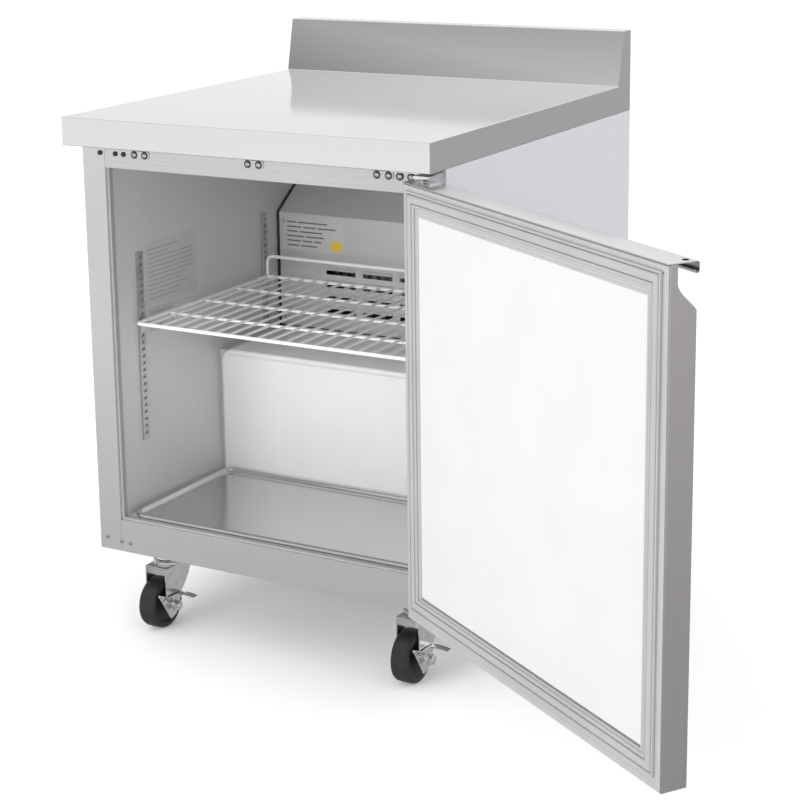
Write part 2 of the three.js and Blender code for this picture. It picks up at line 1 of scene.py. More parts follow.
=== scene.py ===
"""Looks of the single-door worktop refrigerator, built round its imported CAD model. Metres, row frame.

Most shapes are drawn in millimetres in one of three local frames: the cabinet's (floor point under its
middle), the closed door's (its hinge axis) or a caster's (the floor point under its swivel).
"""
import json
import math

import bmesh
import bpy
from mathutils import Matrix, Vector


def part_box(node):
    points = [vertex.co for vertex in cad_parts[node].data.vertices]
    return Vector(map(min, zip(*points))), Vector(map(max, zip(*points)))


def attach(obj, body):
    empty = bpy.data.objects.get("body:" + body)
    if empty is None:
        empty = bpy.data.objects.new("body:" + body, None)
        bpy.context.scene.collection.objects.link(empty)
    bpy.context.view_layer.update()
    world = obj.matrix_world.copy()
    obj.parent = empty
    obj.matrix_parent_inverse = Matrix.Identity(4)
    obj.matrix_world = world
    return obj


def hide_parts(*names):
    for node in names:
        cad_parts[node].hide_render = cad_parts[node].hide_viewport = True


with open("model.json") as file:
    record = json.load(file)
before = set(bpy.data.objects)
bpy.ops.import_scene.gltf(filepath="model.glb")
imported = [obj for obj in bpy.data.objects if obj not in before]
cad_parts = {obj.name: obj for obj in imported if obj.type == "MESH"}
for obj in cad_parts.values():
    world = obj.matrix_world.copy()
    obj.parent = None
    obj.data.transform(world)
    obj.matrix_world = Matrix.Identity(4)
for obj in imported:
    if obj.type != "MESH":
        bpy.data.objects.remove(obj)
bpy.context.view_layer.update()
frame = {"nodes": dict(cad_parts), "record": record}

MM = 0.001
WORKTOP_LOW, WORKTOP_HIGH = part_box("worktop")
CABINET_MIDDLE = Vector(((WORKTOP_LOW.x + WORKTOP_HIGH.x) / 2, (WORKTOP_LOW.y + WORKTOP_HIGH.y) / 2, 0))

# Cabinet sizes, millimetres
HALF_WIDTH = 349.25
CABINET_FRONT = -328
BACK = 381
WORKTOP_TOP = 921
WORKTOP_UNDER = 873
OPENING_TOP = 830
CABIN_HALF = 300.5
CABIN_FLOOR = 205.5
HUMP_FRONT = -6
HUMP_TOP = 439
COVER_FACE = 200
LOUVRE_PITCH = 80
LOUVRE_HALF = 32
LOUVRE_TOP = 555
LOUVRE_DROP = 25
SHELF_Z = 549
SHELF_HALF = 292
SHELF_FRONT = -280
SHELF_REAR = 147

# Door sizes, millimetres from the hinge axis when closed
HINGE = (333, -365)
HINGE_OUT = 37
DOOR_OPEN = math.radians(147.2)
DOOR_HALF = 345.5
DOOR_BOTTOM = 156
DOOR_TOP = 860
DOOR_MIDDLE = -333
DOOR_INNER = 6
DOOR_OUTER = 47
SCOOP_INNER = 18
SCOOP_TOP = 834
SCOOP_BOTTOM = 798
PIN_BORE = 3.3
BRACKET_FACE = CABINET_FRONT - 2.6

WHEEL_RADIUS = 45
WHEEL_HALF = 17
CASTER_TRAIL = 30
CASTERS = {
    "front_left": (-255, -256),
    "front_right": (255, -256),
    "rear_left": (-255, 306),
    "rear_right": (255, 306),
}

CABINET = Matrix.Translation(CABINET_MIDDLE)
HINGE_AXIS = Matrix.Translation(Vector((*HINGE, 0)) * MM)
DOOR = CABINET @ HINGE_AXIS @ Matrix.Rotation(DOOR_OPEN, 4, "Z")


def caster_frame(place):
    x, y = CASTERS[place]
    return CABINET @ Matrix.Translation(Vector((x, y, 0)) * MM)


# ---------------------------------------------------------------- materials


class Nodes:
    """A small helper for building one material's node tree."""

    def __init__(self, name):
        self.material = bpy.data.materials.new(name)
        self.material.use_nodes = True
        self.tree = self.material.node_tree
        self.shader = self.tree.nodes["Principled BSDF"]
        self.space = self.add("ShaderNodeTexCoord").outputs["Object"]

    def add(self, kind, **settings):
        node = self.tree.nodes.new(kind)
        for key, value in settings.items():
            setattr(node, key, value)
        return node

    def link(self, output, socket):
        self.tree.links.new(output, socket)

    def set(self, **values):
        for key, value in values.items():
            self.shader.inputs[key.replace("_", " ")].default_value = value

    def noise(self, scale, stretch=(1, 1, 1), detail=3.0, roughness=0.5):
        mapping = self.add("ShaderNodeMapping")
        mapping.inputs["Scale"].default_value = stretch
        self.link(self.space, mapping.inputs["Vector"])
        noise = self.add("ShaderNodeTexNoise")
        noise.inputs["Scale"].default_value = scale
        noise.inputs["Detail"].default_value = detail
        noise.inputs["Roughness"].default_value = roughness
        self.link(mapping.outputs["Vector"], noise.inputs["Vector"])
        return noise.outputs["Fac"]

    def spread(self, value, low, high, start=0.3, end=0.7):
        remap = self.add("ShaderNodeMapRange")
        for key, number in (("From Min", start), ("From Max", end), ("To Min", low), ("To Max", high)):
            remap.inputs[key].default_value = number
        self.link(value, remap.inputs["Value"])
        return remap.outputs["Result"]

    def ramp(self, value, *stops):
        ramp = self.add("ShaderNodeValToRGB")
        elements = ramp.color_ramp.elements
        while len(elements) < len(stops):
            elements.new(0.5)
        for element, (place, colour) in zip(elements, stops):
            element.position = place
            element.color = (*colour, 1)
        self.link(value, ramp.inputs["Fac"])
        return ramp.outputs["Color"]

    def colour(self, output):
        self.link(output, self.shader.inputs["Base Color"])

    def rough(self, output):
        self.link(output, self.shader.inputs["Roughness"])

    def bump(self, height, strength, distance):
        bump = self.add("ShaderNodeBump")
        bump.inputs["Strength"].default_value = strength
        bump.inputs["Distance"].default_value = distance
        self.link(height, bump.inputs["Height"])
        self.link(bump.outputs["Normal"], self.shader.inputs["Normal"])


GRAIN_STRETCH = {"x": (0.7, 420, 420), "y": (420, 0.7, 420), "z": (420, 420, 0.7)}


def scaled(colour, factor):
    return tuple(min(1.0, channel * factor) for channel in colour)


def brushed(name, colour, grain, low=0.2, high=0.32, metallic=1.0):
    """Brushed sheet steel: fine scratches along one axis and broad soft clouds of smudging."""
    m = Nodes(name)
    scratches = m.noise(3.0, GRAIN_STRETCH[grain], 5.0, 0.65)
    clouds = m.noise(2.6, (1, 1, 1), 2.0)
    m.colour(m.ramp(scratches, (0.25, scaled(colour, 0.96)), (0.75, scaled(colour, 1.03))))
    mix = m.add("ShaderNodeMath", operation="ADD")
    m.link(m.spread(scratches, low, high), mix.inputs[0])
    m.link(m.spread(clouds, -0.03, 0.05), mix.inputs[1])
    m.rough(mix.outputs[0])
    m.bump(scratches, 0.02, 0.0001)
    m.set(Metallic=metallic)
    return m.material


def plated(name, colour, low, high, scale=60):
    """Zinc or chrome plate: bright, with faint uneven patches and pin-point dulling."""
    m = Nodes(name)
    patches = m.noise(scale, (1, 1, 1), 4.0, 0.6)
    m.colour(m.ramp(patches, (0.3, scaled(colour, 0.88)), (0.7, scaled(colour, 1.06))))
    m.rough(m.spread(patches, low, high))
    m.bump(m.noise(900, (1, 1, 1), 2.0), 0.04, 0.0002)
    m.set(Metallic=1.0)
    return m.material


def plastic(name, colour, low, high, grain=700, depth=0.05, tint=0.04):
    """Moulded plastic or coating: a fine skin texture and slightly uneven gloss."""
    m = Nodes(name)
    clouds = m.noise(9, (1, 1, 1), 3.0)
    m.colour(m.ramp(clouds, (0.3, scaled(colour, 1 - tint)), (0.7, scaled(colour, 1 + tint))))
    m.rough(m.spread(clouds, low, high))
    m.bump(m.noise(grain, (1, 1, 1), 2.0), depth, 0.0003)
    m.set(Metallic=0.0)
    return m.material


STEEL = (0.79, 0.80, 0.81)
TOP_STEEL = brushed("worktop_steel", (0.78, 0.79, 0.80), "x", 0.05, 0.09)
FRONT_STEEL = brushed("front_steel_level_grain", STEEL, "x", 0.24, 0.36)
STILE_STEEL = brushed("front_steel_upright_grain", STEEL, "z", 0.22, 0.34)
SIDE_STEEL = brushed("side_panel_steel", (0.70, 0.71, 0.74), "z", 0.42, 0.52, metallic=0.15)
DOOR_STEEL = brushed("door_steel", (0.62, 0.60, 0.59), "z", 0.24, 0.36)
EDGE_STEEL = brushed("door_top_steel", (0.72, 0.72, 0.73), "x", 0.12, 0.2)
TRAY_STEEL = brushed("tray_steel", (0.62, 0.62, 0.62), "x", 0.14, 0.22)
REAR_STEEL = plated("galvanised_sheet", (0.52, 0.54, 0.56), 0.34, 0.5, scale=35)
LINER = brushed("liner_aluminium", (0.70, 0.70, 0.69), "z", 0.4, 0.5, metallic=0.4)
COVER = brushed("cover_aluminium", (0.68, 0.68, 0.68), "x", 0.38, 0.48, metallic=0.35)
CHROME = plated("bright_zinc_plate", (0.86, 0.87, 0.88), 0.1, 0.22)
ZINC = plated("satin_zinc_plate", (0.58, 0.59, 0.60), 0.28, 0.42)
FINS = plated("fin_aluminium", (0.70, 0.71, 0.72), 0.3, 0.4)
COPPER = plated("copper_tube", (0.72, 0.38, 0.24), 0.22, 0.38)
GLOSS_WHITE = plastic("gloss_white_moulding", (0.88, 0.88, 0.87), 0.1, 0.16, depth=0.01, tint=0.02)
DOOR_WHITE = plastic("door_liner_white", (0.66, 0.67, 0.68), 0.3, 0.4, depth=0.03, tint=0.015)
WIRE_WHITE = plastic(
    "white_dipped_coating", (0.93, 0.93, 0.93), 0.22, 0.32, grain=260, depth=0.06, tint=0.02,
)
FRAME_GREY = plastic("grey_extrusion", (0.44, 0.435, 0.43), 0.34, 0.46, depth=0.03)
BREAKER_GREY = plastic("breaker_strip", (0.34, 0.34, 0.34), 0.3, 0.4, depth=0.03)
GASKET_GREY = plastic("gasket_vinyl", (0.42, 0.415, 0.41), 0.42, 0.55, depth=0.04)
SEAL_BLACK = plastic("foam_seal", (0.035, 0.035, 0.035), 0.75, 0.9, grain=1200, depth=0.3, tint=0.2)
RUBBER = plastic("wheel_rubber", (0.018, 0.018, 0.02), 0.38, 0.56, grain=500, depth=0.12, tint=0.25)
BLACK = plastic("black_moulding", (0.02, 0.02, 0.022), 0.35, 0.5, depth=0.1, tint=0.2)
ENAMEL = plastic("black_enamel", (0.015, 0.015, 0.017), 0.16, 0.3, depth=0.02, tint=0.2)
SIDE_PAPER = plastic("wall_label_paper", (0.56, 0.575, 0.575), 0.4, 0.5, depth=0.02, tint=0.02)
SIDE_INK = plastic("wall_label_grey", (0.40, 0.41, 0.41), 0.5, 0.6, depth=0.02, tint=0.02)
COVER_PAPER = plastic("cover_label_paper", (0.62, 0.62, 0.61), 0.4, 0.5, depth=0.02, tint=0.02)
COVER_INK = plastic("cover_label_grey", (0.16, 0.16, 0.16), 0.5, 0.6, depth=0.02, tint=0.02)
YELLOW = plastic("yellow_print", (0.85, 0.62, 0.05), 0.4, 0.5, depth=0.02)


# ---------------------------------------------------------------- mesh helpers


def mesh_piece(name, mesh, place, material, body, replaces=(), slot=None, bevel=0.0, segments=3, angle=28):
    """Places a mesh, smooths it by angle, rounds its edges and lets it ride on its body."""
    piece = bpy.data.objects.new(name, mesh)
    bpy.context.scene.collection.objects.link(piece)
    piece.matrix_world = place
    mesh.materials.clear()
    mesh.materials.append(material)
    for polygon in mesh.polygons:
        polygon.use_smooth = True
    if bevel:
        rounder = piece.modifiers.new("rounded_edges", "BEVEL")
        rounder.width = bevel * MM
        rounder.segments = segments
        rounder.limit_method = "ANGLE"
        rounder.angle_limit = math.radians(angle)
        rounder.use_clamp_overlap = True
        rounder.harden_normals = True
    mesh.set_sharp_from_angle(angle=math.radians(40))
    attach(piece, body)
    if replaces:
        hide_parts(*replaces)
    return piece


def bm_piece(name, bm, place, material, body, **options):
    """Turns a bmesh drawn in millimetres into a piece."""
    bmesh.ops.recalc_face_normals(bm, faces=bm.faces)
    bmesh.ops.scale(bm, vec=(MM, MM, MM), verts=bm.verts)
    mesh = bpy.data.meshes.new(name)
    bm.to_mesh(mesh)
    bm.free()
    return mesh_piece(name, mesh, place, material, body, **options)


def refined(node, place, material, body, bevel=0.6, segments=3):
    """A CAD node's own shape with its flat faces joined up and its edges rounded."""
    mesh = frame["nodes"][node].data.copy()
    bm = bmesh.new()
    bm.from_mesh(mesh)
    bmesh.ops.transform(bm, matrix=place.inverted(), verts=bm.verts)
    bmesh.ops.remove_doubles(bm, verts=bm.verts, dist=1e-5)
    bmesh.ops.dissolve_limit(bm, angle_limit=math.radians(1.5), verts=bm.verts, edges=bm.edges)
    bm.to_mesh(mesh)
    bm.free()
    slot = next(row["material_slot"] for row in frame["record"]["subparts"] if row["node"] == node)
    return mesh_piece(
        f"{node}_shape", mesh, place, material, body,
        replaces=(node,), slot=slot, bevel=bevel, segments=segments,
    )


def add_box(bm, low, high):
    low, high = Vector(low), Vector(high)
    size = high - low
    matrix = Matrix.Translation((low + high) / 2) @ Matrix.Diagonal((*size, 1))
    return bmesh.ops.create_cube(bm, size=1, matrix=matrix)["verts"]


AXIS_TURN = {
    "x": Matrix.Rotation(math.pi / 2, 4, "Y"),
    "-x": Matrix.Rotation(-math.pi / 2, 4, "Y"),
    "y": Matrix.Rotation(-math.pi / 2, 4, "X"),
    "-y": Matrix.Rotation(math.pi / 2, 4, "X"),
    "z": Matrix.Identity(4),
    "-z": Matrix.Rotation(math.pi, 4, "X"),
}


def circle(radius, along, sides):
    """Points of a circle about Z at the height along."""
    points = []
    for i in range(sides):
        turn = 2 * math.pi * i / sides
        points.append(Vector((radius * math.cos(turn), radius * math.sin(turn), along)))
    return points


def add_turned(bm, profile, centre, axis="z", sides=48):
    """A solid of revolution: profile points are (radius, distance along the axis)."""
    place = Matrix.Translation(Vector(centre)) @ AXIS_TURN[axis]
    rings = []
    for radius, along in profile:
        if radius == 0:
            rings.append([bm.verts.new(place @ Vector((0, 0, along)))])
            continue
        rings.append([bm.verts.new(place @ point) for point in circle(radius, along, sides)])
    for low, high in zip(rings, rings[1:]):
        for i in range(sides):
            j = (i + 1) % sides
            quad = [low[i % len(low)], low[j % len(low)], high[j % len(high)], high[i % len(high)]]
            corners = list(dict.fromkeys(quad))
            if len(corners) > 2:
                bm.faces.new(corners)


def add_outline(bm, outline, along, start, end):
    """Extrudes a closed outline: [y, z] along x, [x, z] along y, [x, y] along z."""
    spin = {
        "x": lambda a, b, c: (c, a, b),
        "y": lambda a, b, c: (a, c, b),
        "z": lambda a, b, c: (a, b, c),
    }[along]
    low = [bm.verts.new(spin(a, b, start)) for a, b in outline]
    high = [bm.verts.new(spin(a, b, end)) for a, b in outline]
    bm.faces.new(low)
    bm.faces.new(reversed(high))
    count = len(outline)
    for i in range(count):
        j = (i + 1) % count
        bm.faces.new((low[i], low[j], high[j], high[i]))


def arc(centre, radius, start, end, steps=8):
    """Points of an arc, in degrees."""
    points = []
    for i in range(steps + 1):
        turn = math.radians(start + (end - start) * i / steps)
        points.append((centre[0] + radius * math.cos(turn), centre[1] + radius * math.sin(turn)))
    return points


def rounded_rectangle(x0, x1, y0, y1, radius, steps=6):
    corners = (
        ((x1 - radius, y1 - radius), 0),
        ((x0 + radius, y1 - radius), 90),
        ((x0 + radius, y0 + radius), 180),
        ((x1 - radius, y0 + radius), 270),
    )
    points = []
    for centre, start in corners:
        points += arc(centre, radius, start, start + 90, steps)
    return points


def add_loft(bm, rings):
    """Joins closed rings of equal length with quads and caps both ends."""
    made = [[bm.verts.new(point) for point in ring] for ring in rings]
    count = len(made[0])
    for low, high in zip(made, made[1:]):
        for i in range(count):
            j = (i + 1) % count
            bm.faces.new((low[i], low[j], high[j], high[i]))
    bm.faces.new(reversed(made[0]))
    bm.faces.new(made[-1])


def add_mitred_frame(bm, profile, half, low, high, middle, level):
    """Sweeps a profile of (distance inwards, height) round a rectangle with mitred corners."""
    rings = []
    for sx, sz in ((-1, -1), (1, -1), (1, 1), (-1, 1)):
        ring = []
        for inset, height in profile:
            x = middle + sx * (half - inset)
            z = low + inset if sz < 0 else high - inset
            ring.append((x, level(height), z))
        rings.append(ring)
    made = [[bm.verts.new(point) for point in ring] for ring in rings]
    count = len(profile)
    for k in range(4):
        here, there = made[k], made[(k + 1) % 4]
        for i in range(count):
            j = (i + 1) % count
            bm.faces.new((here[i], here[j], there[j], there[i]))


def wires(name, runs, radius, place, material, body, resolution=6, **options):
    """Round wires as one mesh: runs are lists of points in millimetres."""
    curve = bpy.data.curves.new(name, "CURVE")
    curve.dimensions = "3D"
    curve.bevel_depth = radius * MM
    curve.bevel_resolution = resolution
    curve.use_fill_caps = True
    for run in runs:
        spline = curve.splines.new("POLY")
        spline.points.add(len(run) - 1)
        for point, position in zip(spline.points, run):
            point.co = (*(Vector(position) * MM), 1)
    holder = bpy.data.objects.new(name + "_path", curve)
    bpy.context.scene.collection.objects.link(holder)
    graph = bpy.context.evaluated_depsgraph_get()
    mesh = bpy.data.meshes.new_from_object(holder.evaluated_get(graph))
    bpy.data.objects.remove(holder)
    bpy.data.curves.remove(curve)
    mesh.name = name
    return mesh_piece(name, mesh, place, material, body, **options)


def softened(points, radius, steps=5):
    """Replaces each inner corner of a path by a small bend."""
    path = [Vector(points[0])]
    for before, corner, after in zip(points, points[1:], points[2:]):
        before, corner, after = Vector(before), Vector(corner), Vector(after)
        back = (before - corner).normalized() * radius
        on = (after - corner).normalized() * radius
        for i in range(steps + 1):
            t = i / steps
            path.append(corner + back * (1 - t) ** 2 + on * t**2)
    path.append(Vector(points[-1]))
    return path


# ---------------------------------------------------------------- fasteners


def add_pan_head(bm, centre, axis, radius=4.0, height=2.4, drive="cross"):
    """A pan head with a real cross recess, or a hexagon head with a chamfered top."""
    place = Matrix.Translation(Vector(centre)) @ AXIS_TURN[axis]
    if drive == "hex":
        for size, low, high in ((1.0, 0, height * 0.8), (0.86, height * 0.8, height)):
            ring = [(radius * size, low), (radius * size * (1 if size == 1 else 0.9), high)]
            add_turned(bm, [(0, low), *ring, (0, high)], centre, axis, sides=6)
        return
    sides, rings = 48, 11
    made = []
    for k in range(rings + 1):
        share = k / rings
        ring = []
        for i in range(sides):
            turn = 2 * math.pi * i / sides
            x, y = share * radius * math.cos(turn), share * radius * math.sin(turn)
            z = height * math.sqrt(max(0.0, 1 - share**2.6))
            in_cross = min(abs(x), abs(y)) < radius * 0.13 and share < 0.62
            ring.append(bm.verts.new(place @ Vector((x, y, z - (height * 0.45 if in_cross else 0)))))
            if k == 0:
                break
        made.append(ring)
    base = [bm.verts.new(place @ point) for point in circle(radius, -0.3, sides)]
    for i in range(sides):
        bm.faces.new((made[0][0], made[1][i], made[1][(i + 1) % sides]))
    for low, high in zip(made[1:], made[2:] + [base]):
        for i in range(sides):
            j = (i + 1) % sides
            bm.faces.new((low[i], high[i], high[j], low[j]))
    bm.faces.new(reversed(base))


def heads(name, spots, axis, material, body, place=CABINET, radius=4.0, height=2.4, drive="cross"):
    bm = bmesh.new()
    for spot in spots:
        add_pan_head(bm, spot, axis, radius, height, drive)
    return bm_piece(name, bm, place, material, body)


# ---------------------------------------------------------------- cabinet


def build_worktop():
    refined("worktop", CABINET, TOP_STEEL, "cabinet", bevel=1.6, segments=4)
    frame["nodes"]["worktop_core"].data.materials[0] = REAR_STEEL
    seam = bmesh.new()
    for x in (-HALF_WIDTH, HALF_WIDTH):
        add_box(seam, (x - 0.1, BACK - 53.4, WORKTOP_UNDER + 2), (x + 0.1, BACK - 52.6, WORKTOP_TOP - 1.4))
    bm_piece("backsplash_weld_seams", seam, CABINET, STILE_STEEL, "cabinet", bevel=0.05, segments=1)


def build_shell():
    for side, steel in (("left", STILE_STEEL), ("right", SIDE_STEEL)):
        refined(f"side_panel_{side}", CABINET, steel, "cabinet", bevel=0.7)
    refined("top_rail", CABINET, FRONT_STEEL, "cabinet", bevel=0.5)
    refined("sill_rail", CABINET, FRONT_STEEL, "cabinet", bevel=0.5)
    refined("rear_panel", CABINET, REAR_STEEL, "cabinet", bevel=0.5)
    refined("rear_grille", CABINET, REAR_STEEL, "cabinet", bevel=0.3, segments=2)
    refined("base_pan", CABINET, REAR_STEEL, "cabinet", bevel=0.5)
    for node in ("insulation_left", "insulation_right", "insulation_floor_rear"):
        frame["nodes"][node].data.materials[0] = FRAME_GREY


def build_front_fasteners():
    face = CABINET_FRONT
    level = OPENING_TOP + 26
    tabs = bmesh.new()
    screws = []
    for x in (-229, -2.5, 238):
        outline = rounded_rectangle(x - 19, x + 19, level - 5.5, level + 6.5, 3)
        add_outline(tabs, outline, "y", face - 1.6, face - 0.1)
        screws += [(x - 10.5, face - 1.6, level), (x + 10.5, face - 1.6, level)]
    bm_piece("tie_tabs", tabs, CABINET, FRONT_STEEL, "cabinet", bevel=0.4, segments=2)
    screws += [(x, face - 1.0, level) for x in (268, 288)]
    washers = bmesh.new()
    for spot in screws:
        add_turned(washers, [(0, -0.6), (6.4, -0.6), (6.4, 0.5), (5.8, 0.8), (0, 0.8)], spot, "-y", 40)
    bm_piece("tie_tab_washers", washers, CABINET, ENAMEL, "cabinet")
    heads("tie_tab_screws", screws, "-y", CHROME, "cabinet", radius=4.8, height=2.2)
    plugs = [(-312, face, level - 1), (-280, face, level - 1), (-263, face, level - 1)]
    heads("frame_plugs", plugs, "-y", ENAMEL, "cabinet", radius=4.6, height=2.2, drive="hex")
    rivets = [(-334, face, 168), (-303, face, 164), (-284, face, 163)]
    bm = bmesh.new()
    rivet = [(4.2, 0), (4.0, 0.9), (3.0, 1.8), (1.4, 2.1), (1.2, 1.2), (0, 1.2)]
    for spot in rivets:
        add_turned(bm, rivet, spot, "-y", sides=32)
    bm_piece("frame_rivets", bm, CABINET, ZINC, "cabinet")


def build_cabin():
    refined("liner", CABINET, LINER, "cabinet", bevel=0.5)
    refined("breaker_frame", CABINET, BREAKER_GREY, "cabinet", bevel=0.6)
    build_hump()
    build_tray()
    build_cover()
    build_stickers()


def build_hump():
    """Glossy moulding over the machine bay: rounded top corners with a raised bead along its edge."""
    half = CABIN_HALF - 4
    low, top = CABIN_FLOOR + 0.3, HUMP_TOP + 3.2
    face = HUMP_FRONT - 0.4
    corner = 24

    def edge(inset, y):
        points = [(-half + inset, y, low), (half - inset, y, low)]
        radius = corner - inset
        right = arc((half - corner, top - corner), radius, 0, 90, 10)
        left = arc((-half + corner, top - corner), radius, 90, 180, 10)
        return points + [(x, y, z) for x, z in right + left]

    depth = [(0, COVER_FACE - 4), (0, face - 0.4), (0.7, face - 2.4), (2.6, face - 4.6), (5.5, face - 5.4)]
    depth += [(8.4, face - 4.6), (10.2, face - 2.6), (12, face - 1.4), (15, face - 1.1)]
    bm = bmesh.new()
    add_loft(bm, [edge(inset, y) for inset, y in depth])
    bm_piece(
        "hump_shell", bm, CABINET, GLOSS_WHITE, "cabinet",
        replaces=("hump_moulding",), slot="white_plastic",
    )


def build_tray():
    """Floor tray with a rolled rim, a sloped inner wall and a flat pan."""
    half = CABIN_HALF - 9
    front, rear = CABINET_FRONT + 14.8, HUMP_FRONT - 6.3
    base = CABIN_FLOOR + 0.3
    section = [(0, 0), (0, 6.5), (0.8, 8.4), (2.4, 9), (6, 9)]
    section += [(7.6, 8.2), (8.6, 6.4), (10.5, 3.4), (14, 1.9), (20, 1.6)]
    bm = bmesh.new()
    rings = []
    for inset, height in section:
        ring = rounded_rectangle(-half + inset, half - inset, front + inset, rear - inset, 24 - inset, 6)
        rings.append([(x, y, base + height) for x, y in ring])
    add_loft(bm, rings)
    bm_piece("floor_pan", bm, CABINET, TRAY_STEEL, "cabinet", replaces=("floor_tray",), slot="stainless")


def build_cover():
    refined("evaporator_cover", CABINET, COVER, "cabinet", bevel=0.5, segments=2)
    refined("cover_seal", CABINET, SEAL_BLACK, "cabinet", bevel=0.8)
    hoods = bmesh.new()
    for column in range(-2, 3):
        for row in range(4):
            x, z = column * LOUVRE_PITCH, LOUVRE_TOP - row * LOUVRE_DROP
            section = [(COVER_FACE, z + 10.5), (COVER_FACE - 2.4, z + 8.6), (COVER_FACE - 3.8, z + 5.2)]
            section += [(COVER_FACE - 3.2, z + 4.6), (COVER_FACE - 0.8, z + 4.4), (COVER_FACE, z + 4.4)]
            add_outline(hoods, section, "x", x - LOUVRE_HALF, x + LOUVRE_HALF)
    bm_piece("louvre_hoods", hoods, CABINET, COVER, "cabinet", bevel=0.3, segments=2)
    spots = [(x, COVER_FACE, z) for x in (-284, 284) for z in (462, 648)]
    heads("cover_screws", spots, "-y", CHROME, "cabinet", radius=4.2)


def label_bars(bm, along, face, left, top, row_pitch, rows):
    """Plain bars in rows, where a printed label would be. Each row is a list of bar lengths."""
    thick = row_pitch * 0.3
    for number, lengths in enumerate(rows):
        start, z = left, top - number * row_pitch
        for length in lengths:
            if along == "x":
                add_box(bm, (start, face - 0.12, z - thick), (start + length, face, z))
            else:
                add_box(bm, (face, start, z - thick), (face + 0.12, start + length, z))
            start += length + 4


def build_stickers():
    """Labels reduced to pale cards with plain bars and one plain yellow patch. Nothing is spelled out."""
    wall = -CABIN_HALF
    cards = bmesh.new()
    add_outline(cards, rounded_rectangle(-232, -76, 568, 678, 3), "x", wall + 0.05, wall + 0.3)
    add_outline(cards, rounded_rectangle(-224, -150, 520, 562, 2), "x", wall + 0.05, wall + 0.3)
    bm_piece("wall_labels", cards, CABINET, SIDE_PAPER, "cabinet")
    bars = bmesh.new()
    label_bars(bars, "y", wall + 0.3, -222, 668, 8, [[90], [60]] + 5 * [[90, 40]])
    label_bars(bars, "y", wall + 0.3, -222, 612, 8, [[30, 80], [50, 40], [30, 80], [50, 40], [90]])
    label_bars(bars, "y", wall + 0.3, -216, 554, 8, [[58], [40], [52], [30]])
    bm_piece("wall_label_bars", bars, CABINET, SIDE_INK, "cabinet")
    card = bmesh.new()
    add_outline(card, rounded_rectangle(-282, -152, 592, 652, 2), "y", COVER_FACE - 0.3, COVER_FACE - 0.05)
    bm_piece("cover_label", card, CABINET, COVER_PAPER, "cabinet")
    bars = bmesh.new()
    rows = [[20, 66], [32, 28, 40], [24, 50], [38, 40], [30, 22, 16], [26, 36]]
    label_bars(bars, "x", COVER_FACE - 0.3, -278, 648, 9, rows)
    bm_piece("cover_label_bars", bars, CABINET, COVER_INK, "cabinet")
    patch = bmesh.new()
    add_outline(patch, rounded_rectangle(-180, -157, 596, 615, 3), "y", COVER_FACE - 0.5, COVER_FACE - 0.32)
    bm_piece("cover_label_patch", patch, CABINET, YELLOW, "cabinet")


def build_standards():
    for place in ("front", "rear"):
        for side in ("left", "right"):
            refined(f"pilaster_{place}_{side}", CABINET, ZINC, "cabinet", bevel=0.35, segments=2)
            refined(f"shelf_clip_{place}_{side}", CABINET, CHROME, "cabinet", bevel=0.5, segments=2)


def build_shelf():
    """Dipped wire shelf: a heavy rim, front-to-back wires, cross rods below and a raised rear bail."""
    edge = 3.3
    x1, y0, y1 = SHELF_HALF - edge, SHELF_FRONT + edge, SHELF_REAR - edge
    bail = SHELF_Z + 43 - edge
    rim = softened([(0, y0, SHELF_Z), (-x1, y0, SHELF_Z), (-x1, y1, SHELF_Z), (0, y1, SHELF_Z)], 10)
    rim += softened([(0, y1, SHELF_Z), (x1, y1, SHELF_Z), (x1, y0, SHELF_Z), (0, y0, SHELF_Z)], 10)
    stop = softened([(-x1, y1, SHELF_Z), (-x1, y1, bail), (x1, y1, bail), (x1, y1, SHELF_Z)], 14)
    wires(
        "shelf_rim", [rim, stop], edge, CABINET, WIRE_WHITE, "shelf",
        replaces=("wire_shelf",), slot="white_coating",
    )
    count = 20
    thin = 2.2
    top = SHELF_Z + edge - thin
    runs = []
    for i in range(1, count + 1):
        x = -SHELF_HALF + i * 2 * SHELF_HALF / (count + 1)
        runs.append([(x, y0, top), (x, y1, top)])
    wires("shelf_wires", runs, thin, CABINET, WIRE_WHITE, "shelf", resolution=4)
    rods = [[(-x1, y, top - thin - 2), (x1, y, top - thin - 2)] for y in (-175, -66, 40)]
    wires("shelf_cross_rods", rods, 2.6, CABINET, WIRE_WHITE, "shelf", resolution=5)


def build_machine_bay():
    for node, material in (
        ("evaporator_coil", FINS),
        ("evaporator_fan_motor", ENAMEL),
        ("condenser_coil", ENAMEL),
        ("condenser_fan_motor", ENAMEL),
        ("compressor", ENAMEL),
        ("refrigerant_line", COPPER),
        ("evaporator_fan_blade", FINS),
        ("condenser_fan_blade", FINS),
        ("thermostat_box", FRAME_GREY),
    ):
        frame["nodes"][node].data.materials[0] = material
    build_knob()
    build_inlet()


